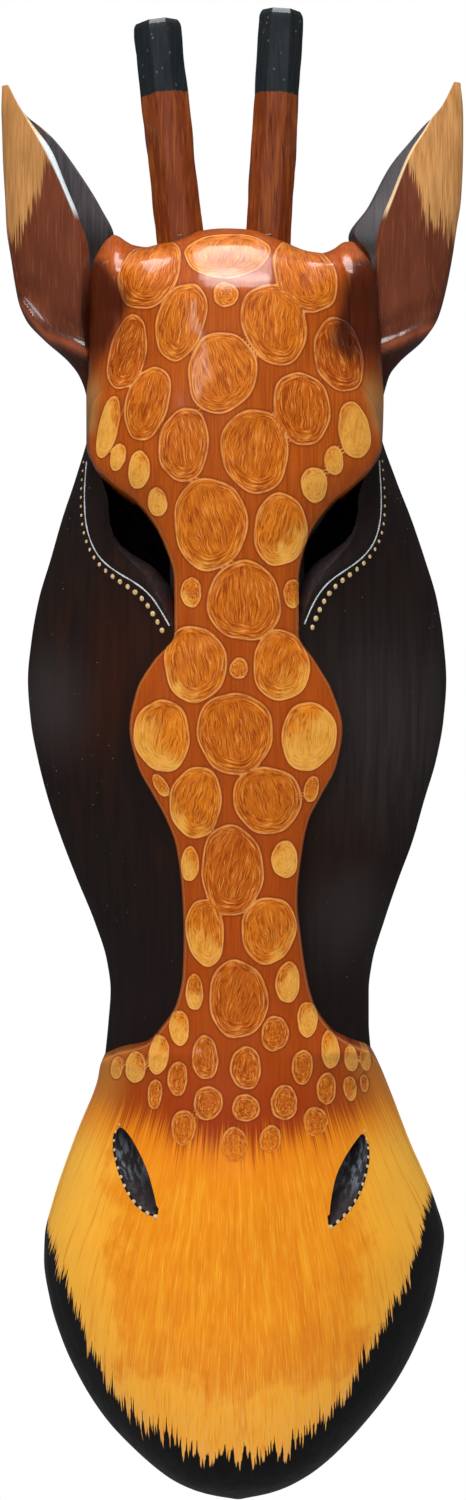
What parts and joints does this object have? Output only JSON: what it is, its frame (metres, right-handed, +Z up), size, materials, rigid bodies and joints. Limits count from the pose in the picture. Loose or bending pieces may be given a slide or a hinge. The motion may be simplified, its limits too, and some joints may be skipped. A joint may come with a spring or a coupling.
{
  "type": "carved giraffe wall mask",
  "caption": "Tall carved wooden giraffe face with black-tipped horns, cupped ears, recessed eyes and a painted lip, hung flat on a wall from a folding ring.",
  "frame": {"origin": "on the wall plane behind the brow, where a wall nail carries the raised hanging ring", "axes": "+Z up along the face, the face looks along -Y, +Y points into the wall, +X to the viewer's right"},
  "size_m": [0.3108, 0.115, 1.0027],
  "materials": {
    "face_wood": "painted, stained and glossy lacquered",
    "ear_wood": "painted and glossy lacquered",
    "horn_wood": "knife-faceted, stained and glossy lacquered",
    "dowel_wood": "bare turned hardwood",
    "nail_steel": "plain wire nail",
    "hanger_steel": "zinc plated"
  },
  "bodies": {
    "mask": {"mask_body": "face_wood", "left_ear": "ear_wood", "right_ear": "ear_wood", "left_horn": "horn_wood", "right_horn": "horn_wood", "left_ear_dowel_front": "dowel_wood", "left_ear_dowel_rear": "dowel_wood", "right_ear_dowel_front": "dowel_wood", "right_ear_dowel_rear": "dowel_wood", "left_horn_nail": "nail_steel", "right_horn_nail": "nail_steel", "hanger_strap": "hanger_steel", "hanger_screw_upper": "hanger_steel", "hanger_screw_lower": "hanger_steel"},
    "ring": {"hanger_ring": "hanger_steel"}
  },
  "joints": [
    {"name": "ring_swing", "type": "hinge", "parent": "mask", "child": "ring", "pos_m": [0, -0.0047, -0.01644], "axis": [-1, 0, 0], "range_deg": [0, 170]}
  ]
}
